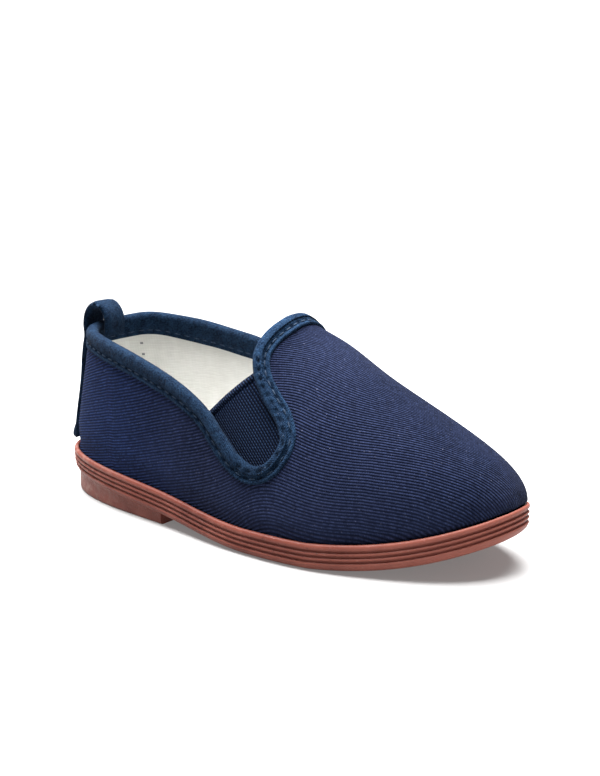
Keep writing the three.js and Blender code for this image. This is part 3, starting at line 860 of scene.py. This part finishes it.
def build_tape():
    count = len(loop_points)
    wander = smooth_loop(rng.normal(0, 1, count), 160)
    wander = wander / np.abs(wander).max()
    width = loop_widths + 0.22 * wander
    middle = (TAPE_OVER - TAPE_UNDER) / 2
    half = (TAPE_OVER + TAPE_UNDER) / 2
    # Section of the tape in pairs: distance from its lower edge, or from the opening's edge in
    # the middle part, and height above the canvas
    lower = [(0.0, 0.0), (0.03, 0.45), (0.3, 0.82), (0.65, 0.86), (1.0, 0.66), (1.35, 0.42),
             (1.7, 0.36), (2.05, 0.48), (2.4, 0.72), (2.8, 0.95), (3.3, 1.10)]
    top = [(3.0, 1.24), (2.55, 1.30)]
    turns = np.linspace(0.12, math.pi - 0.12, 11)
    roll = [(2.1 * (1 - np.sin(a) ** 0.85),
             middle + half * np.sign(np.cos(a)) * abs(np.cos(a)) ** 0.9) for a in turns]
    under = [(3.4, -2.98), (4.4, -2.92)]
    hem = [(2.4, -2.80), (1.9, -2.55), (1.5, -2.62), (0.9, -2.75), (0.3, -2.6),
           (0.0, -WALL + 0.1)]
    columns = [(width - e, h) for e, h in lower]
    columns += [(np.full(count, w), h) for w, h in top + roll + under]
    columns += [(width + TAPE_INNER_EXTRA - e, h) for e, h in hem]
    w = np.stack([column[0] for column in columns], 1)
    h = np.repeat(np.array([[column[1] for column in columns]]), count, axis=0)
    first = stitch_places(STITCH_PITCH)
    second = stitch_places(SECOND_PITCH, second_row_span())
    outside = h > 0
    hole = pits(first + STITCH_PITCH / 2, width - FIRST_LINE, w, 0.55, 0.45) * outside
    slit = pits(second, width - SECOND_LINE, w, 0.90, 0.55) * outside
    h = h - 0.30 * hole - 0.80 * slit
    puff = smooth_loop(rng.normal(0, 1, (count, 1)), 40)
    h = h + 0.12 * puff / np.abs(puff).max() * outside
    points = np.stack([on_tape(w[:, k], h[:, k]) for k in range(w.shape[1])], 1)
    run = np.linalg.norm(np.diff(points, axis=1), axis=2)
    run = np.concatenate([np.zeros((count, 1)), np.cumsum(run, axis=1)], 1)
    cloth = np.stack([np.repeat(loop_at[:, None], w.shape[1], 1), run], -1)
    # share of painted shade in the needle pits
    painted_shade = np.clip(0.75 * hole + slit, 0, 1)
    faces = grid_faces(count, w.shape[1], close_rows=True)
    add_piece("collar_tape", points, faces, tape, "cotton_tape", cloth, painted_shade,
              stands_for=("binding",))
    inside_line = width + TAPE_INNER_EXTRA - INSIDE_LINE
    rows = [
        (first, width - FIRST_LINE, 0.52, (2.3, 0.5, 0.42)),
        (second + SECOND_PITCH / 2, width - SECOND_LINE, 0.95, (1.0, 0.5, 0.5)),
        (first, inside_line, -2.72, (2.4, 0.45, 0.35)),
    ]
    beads = [bead_chain(*loop_frames(at, line, np.full(count, level)), *size)
             for at, line, level, size in rows]
    add_piece("collar_stitches", *joined(beads), thread, "cotton_tape")


build_tape()

# ---------------- elastic inserts


def on_side(x, level, side):
    """Turn and rise of the surface at a side-view place. side is 1 outer, -1 inner."""
    shape = x.shape
    x, level = x.ravel(), level.ravel()
    turn = side * np.arccos(np.clip(-x / HALF_LENGTH, -0.99, 0.99))
    rise = np.full(x.shape, 0.35)
    for _ in range(14):
        point = last_point(turn, rise)
        by_turn, by_rise, _ = tangents(turn, rise)
        fx = point[:, 0] - x
        fz = point[:, 2] - COLLAR_TILT * point[:, 1] - level
        a, b = by_turn[:, 0], by_rise[:, 0]
        c = by_turn[:, 2] - COLLAR_TILT * by_turn[:, 1]
        d = by_rise[:, 2] - COLLAR_TILT * by_rise[:, 1]
        det = a * d - b * c
        turn = turn - np.clip((d * fx - b * fz) / det, -0.15, 0.15)
        rise = np.clip(rise - np.clip((a * fz - c * fx) / det, -0.15, 0.15), 0.02, 0.97)
    return turn.reshape(shape), rise.reshape(shape)


def build_gore(name, side):
    down = np.linspace(0, GORE_DROP, 91)
    back = np.linspace(GORE_DROP, 0, 14)
    hem = 0.42 * hill(down, 0.75, 0.7) - 0.38 * hill(down, 1.75, 0.30)
    rim = np.linspace(0, math.pi, 7)[1:-1]
    half = GORE_THICKNESS / 2
    along = np.concatenate([back, -half * np.sin(rim), down])
    depth = np.concatenate([
        np.full(len(back), GORE_DEPTH + GORE_THICKNESS),
        GORE_DEPTH + half + half * np.cos(rim),
        GORE_DEPTH - hem,
    ])
    across = np.linspace(0, GORE_SPAN, 73)
    a, b = np.meshgrid(along, across, indexing="ij")
    x = GORE_CORNER[0] + GORE_ALONG_TOP[0] * b + GORE_RIBS[0] * a
    z = GORE_CORNER[1] + GORE_ALONG_TOP[1] * b + GORE_RIBS[1] * a
    turn, rise = on_side(x, z, side)
    points = last_offset(turn, rise, -np.repeat(depth[:, None], len(across), 1))
    away = edge_distance(last_point(turn, rise))[0]
    faces = grid_faces(len(along), len(across))
    if side < 0:
        faces = faces[:, ::-1]
    keep = np.all(away.ravel()[faces] < GORE_MARGIN, axis=1)
    add_piece("elastic_" + name, points, faces[keep], elastic, "elastic", np.stack([a, b], -1),
              stands_for=("gore_" + name,))


build_gore("outer", 1)
build_gore("inner", -1)

# ---------------- heel pull strip


def back_seam(z):
    rises = np.linspace(0, 1, 600)
    seam = last_point(np.zeros(600), rises)
    return np.interp(z, seam[:, 2], seam[:, 0])


STRIP_ROWS, STRIP_COLUMNS = 190, 15
STRIP_OUTSIDE = 0.62    # share of the strip's length before it goes down inside
STRIP_SEWN = 0.55       # share with a stitch row along each edge


def build_strip():
    rising = np.array([STRIP_FOOT, 22, 28, 34, 40, 46, 50, 54])
    clear = 0.55 + 0.9 * ease((rising - 36) / 14)
    seam = np.column_stack([back_seam(rising) - clear - STRIP_THICKNESS / 2, rising])
    rows = np.vstack([seam, STRIP_LOOP])
    keys = np.append(0, np.cumsum(np.hypot(*np.diff(rows, axis=0).T)))
    length = keys[-1]
    run = np.linspace(0, length, STRIP_ROWS)
    path = np.stack([through(keys, rows[:, 0], run), through(keys, rows[:, 1], run)], -1)
    tangent = unit(np.gradient(path, axis=0))
    outward = np.stack([-tangent[:, 1], tangent[:, 0]], -1)
    fold = STRIP_FOLD * ease((FOLD_TOP - path[:, 1]) / FOLD_RISE)
    end = ease(run / 0.9) ** 0.5 * ease((length - run) / 0.9) ** 0.5
    half_w, half_t = STRIP_WIDTH / 2, STRIP_THICKNESS / 2
    face = np.linspace(-1, 1, STRIP_COLUMNS)
    ring_y = np.concatenate([half_w * face, half_w * face[::-1]])
    edge_round = np.sqrt(np.clip(1 - np.abs(face) ** 7, 0.0, 1))
    groove = 0.22 * hill(np.abs(face) * half_w, 3.5, 0.35)
    ring_t = np.concatenate([half_t * edge_round - groove, -half_t * edge_round])
    # The strip curls round the heel outside, and less so inside
    bend = np.where(run < STRIP_OUTSIDE * length, 0.012 * ease((62 - path[:, 1]) / 12), 0.010)
    bend = np.convolve(np.pad(bend, 8, mode="edge"), np.ones(17) / 17, mode="valid")
    offset = ring_t[None, :] * end[:, None] + fold[:, None] * (ring_t[None, :] > 0)
    x = path[:, 0:1] + outward[:, 0:1] * offset + bend[:, None] * ring_y[None, :] ** 2
    y = STRIP_SHIFT + ring_y[None, :] + 0.25 * np.sin(run / 9)[:, None]
    z = path[:, 1:2] + outward[:, 1:2] * offset
    points = np.stack([x, y, z], -1)
    around = len(ring_y)
    across = np.concatenate([half_w * face, STRIP_WIDTH + half_w * face])
    cloth = np.stack(np.broadcast_arrays(run[:, None], across[None]), -1)
    faces = grid_faces(STRIP_ROWS, around, close_columns=True)
    foot = np.array([[i, i + 1, around - 2 - i, around - 1 - i] for i in range(STRIP_COLUMNS - 1)])
    tail = foot[:, ::-1] + (STRIP_ROWS - 1) * around
    add_piece("heel_pull_strip", points, np.vstack([faces, foot, tail]), tape, "cotton_tape",
              cloth, np.zeros(points.shape[:2]), stands_for=("heel_strip",))
    chosen = np.arange(8, 180, 8)
    chosen = np.repeat(chosen[run[chosen] < STRIP_SEWN * length], 2)
    column = np.tile([2, STRIP_COLUMNS - 3], len(chosen) // 2)
    flat = np.zeros(len(chosen))
    beads = bead_chain(
        points[chosen, column],
        np.column_stack([tangent[chosen, 0], flat, tangent[chosen, 1]]),
        np.column_stack([flat, flat + 1, flat]),
        np.column_stack([outward[chosen, 0], flat, outward[chosen, 1]]),
        2.2, 0.45, 0.4)
    add_piece("strip_stitches", *beads, thread, "cotton_tape")


build_strip()

# ---------------- sole and insole


def tread(x, y):
    """Depth of the fine zigzag tread."""
    zigzag = np.abs((y / 7.0) % 2 - 1) * 2.6
    phase = (x + zigzag) % 3.0
    return 0.55 * ease(1.6 - np.abs(phase - 1.5) * 2.2)


def flat_cap(turn, inset, height, columns):
    """Grid that fills the outline from side to side, with tread cut into it."""
    left = outline(turn, np.full(turn.shape, inset))
    right = outline(-turn, np.full(turn.shape, inset))
    share = np.linspace(0, 1, columns)[None, :, None]
    flat = left[:, None] * (1 - share) + right[:, None] * share
    edge = np.minimum(share[..., 0], 1 - share[..., 0]) * np.linalg.norm(
        left - right, axis=1)[:, None]
    depth = tread(flat[..., 0], flat[..., 1]) * ease((edge - 1.5) / 1.0)
    return np.concatenate([flat, (height(flat[..., 0]) + depth)[..., None]], -1)


def build_sole():
    turns = 560
    turn = np.arange(turns) * 2 * math.pi / turns
    heel = np.clip((TAPER_FRONT - outline_at(turn)[:, 0]) / (HALF_LENGTH + TAPER_FRONT), 0, 1)
    band = []
    for up, inset in BAND_PROFILE:
        taper = BAND_TAPER * heel * max(0.0, 1 - up / (BAND_HEIGHT - RECESS_DEPTH))
        edge = outline(turn, inset + taper)
        band.append(np.column_stack([edge, band_bottom(edge[:, 0]) + up]))
    band = np.stack(band)
    pieces = [(band, grid_faces(len(band), turns, close_columns=True))]
    side = np.linspace(0.02, math.pi - 0.02, 330)
    cap = flat_cap(side, 2.2, band_bottom, 64)
    pieces.append((cap, grid_faces(*cap.shape[:2])[:, ::-1]))
    heel_turn = math.acos(-BREAST_X / HALF_LENGTH)
    around = np.linspace(-heel_turn, heel_turn, 240)
    rows = [(BLOCK_INSET + 0.9, 0.0), (BLOCK_INSET + 0.4, 0.15), (BLOCK_INSET + 0.1, 0.5),
            (BLOCK_INSET, 1.0), (BLOCK_INSET, None)]
    block = []
    for inset, z in rows:
        edge = outline(around, np.full(len(around), inset))
        top = band_bottom(edge[:, 0]) + 0.6
        block.append(np.column_stack([edge, top if z is None else np.full(len(around), z)]))
    block = np.stack(block)
    pieces.append((block, grid_faces(*block.shape[:2])))
    left, right = block[:, -1], block[:, 0]
    share = np.linspace(0, 1, 24)[None, :, None]
    breast = left[:, None] * (1 - share) + right[:, None] * share
    pieces.append((breast, grid_faces(*breast.shape[:2])))
    heel_side = np.linspace(0.02, heel_turn, 120)
    heel_cap = flat_cap(heel_side, BLOCK_INSET + 0.9, lambda x: np.zeros(x.shape), 56)
    pieces.append((heel_cap, grid_faces(*heel_cap.shape[:2])[:, ::-1]))
    points, faces = joined(pieces)
    up, inset = BAND_PROFILE.T
    # painted shade: share of darkening in the band's grooves and on the lip under the canvas
    groove = np.clip(inset / 0.6, 0, 1) * ((up > 2.5) & (up < 6.8))
    lip_painted_shade = ease((inset - 0.7) / 0.6) * (up > 7)
    painted_shade = np.zeros(len(points))
    painted_shade[:band[..., 0].size] = np.repeat(np.maximum(groove, lip_painted_shade), turns)
    add_piece("rubber_sole", points, faces, rubber, "rubber", painted_shade=painted_shade,
              stands_for=("outsole",))


def build_insole():
    turns = 240
    turn = np.arange(turns) * 2 * math.pi / turns
    edge_inset = UPPER_INSET + WALL + 0.35
    rows = [(0.0, 0.3), (0.0, 1.9), (0.25, 2.35), (0.8, 2.55), (2.0, 2.6), (5, 2.5), (9, 2.3),
            (14, 2.15), (19, 2.1)]
    rings = []
    for inset, up in rows:
        edge = outline(turn, np.full(turns, edge_inset + inset))
        rings.append(np.column_stack([edge, rim_top(edge[:, 0]) - RECESS_DEPTH + up]))
    last_inset, last_up = rows[-1]
    middle = outline(turn, np.full(turns, edge_inset + last_inset))[:, 0]
    rings.append(np.column_stack([middle * 0.97, centre_line(middle),
                                  rim_top(middle) - RECESS_DEPTH + last_up]))
    points = np.stack(rings)
    add_piece("insole_sock", points, grid_faces(len(rings), turns, close_columns=True), lining,
              "cotton_lining", points[..., :2], stands_for=("insole",))


build_sole()
build_insole()

# ---------------- studio


def build_floor():
    angle = np.arange(96) * 2 * math.pi / 96
    radii = np.array([0.02, 60, 120, 200, 300, 400, 500, FLOOR_RADIUS])
    ring = np.stack([np.cos(angle), np.sin(angle)], -1)
    points = radii[:, None, None] * ring[None]
    points = np.concatenate([points, np.zeros(points.shape[:2] + (1,))], -1)
    mesh = bpy.data.meshes.new("studio_floor")
    faces = grid_faces(len(radii), 96, close_columns=True)
    mesh.from_pydata((points.reshape(-1, 3) * MM).tolist(), [], faces.tolist())
    floor = bpy.data.objects.new("studio_floor", mesh)
    bpy.context.collection.objects.link(floor)
    mesh.materials.append(floor_finish())


def add_softbox(name, place, target, size, power):
    light = bpy.data.lights.new(name, "AREA")
    light.shape = "RECTANGLE"
    light.size, light.size_y = size
    light.energy = power
    lamp = bpy.data.objects.new(name, light)
    lamp.location = place
    lamp.rotation_euler = (Vector(target) - Vector(place)).to_track_quat("-Z", "Y").to_euler()
    bpy.context.collection.objects.link(lamp)


WORLD_LIGHT = 0.17     # the surrounding white as the shoe is lit by it
WORLD_SEEN = 1.1       # and as the camera sees it


def build_lights():
    world = bpy.data.worlds.new("studio")
    bpy.context.scene.world = world
    world.use_nodes = True
    tree = world.node_tree
    background = tree.nodes["Background"]
    background.inputs["Color"].default_value = (1, 1, 1, 1)
    path = tree.nodes.new("ShaderNodeLightPath")
    strength = tree.nodes.new("ShaderNodeMapRange")
    strength.inputs["To Min"].default_value = WORLD_LIGHT
    strength.inputs["To Max"].default_value = WORLD_SEEN
    tree.links.new(path.outputs["Is Camera Ray"], strength.inputs["Value"])
    tree.links.new(strength.outputs["Result"], background.inputs["Strength"])
    add_softbox("overhead", (-0.22, 0.14, 1.05), (0, 0, 0.02), (1.15, 1.15), 71)


CAMERA_TURN = math.radians(37.2)
CAMERA_LIFT = math.radians(15.55)
CAMERA_DISTANCE = 0.410
CAMERA_AIM = Vector((0, 0, 0.020))
LENS, SENSOR = 58.77, 36
FRAME_SHIFT = (0.0318, 0.0955)


def build_camera():
    data = bpy.data.cameras.new("camera")
    data.sensor_width = SENSOR
    data.lens = LENS
    data.shift_x, data.shift_y = FRAME_SHIFT
    data.clip_start = 0.01
    camera = bpy.data.objects.new("camera", data)
    back = Vector((math.sin(CAMERA_TURN) * math.cos(CAMERA_LIFT),
                   -math.cos(CAMERA_TURN) * math.cos(CAMERA_LIFT), math.sin(CAMERA_LIFT)))
    camera.location = CAMERA_AIM + back * CAMERA_DISTANCE
    camera.rotation_euler = (-back).to_track_quat("-Z", "Y").to_euler()
    bpy.context.collection.objects.link(camera)
    bpy.context.scene.camera = camera


build_floor()
build_lights()
build_camera()
bpy.context.scene.view_settings.view_transform = "Standard"
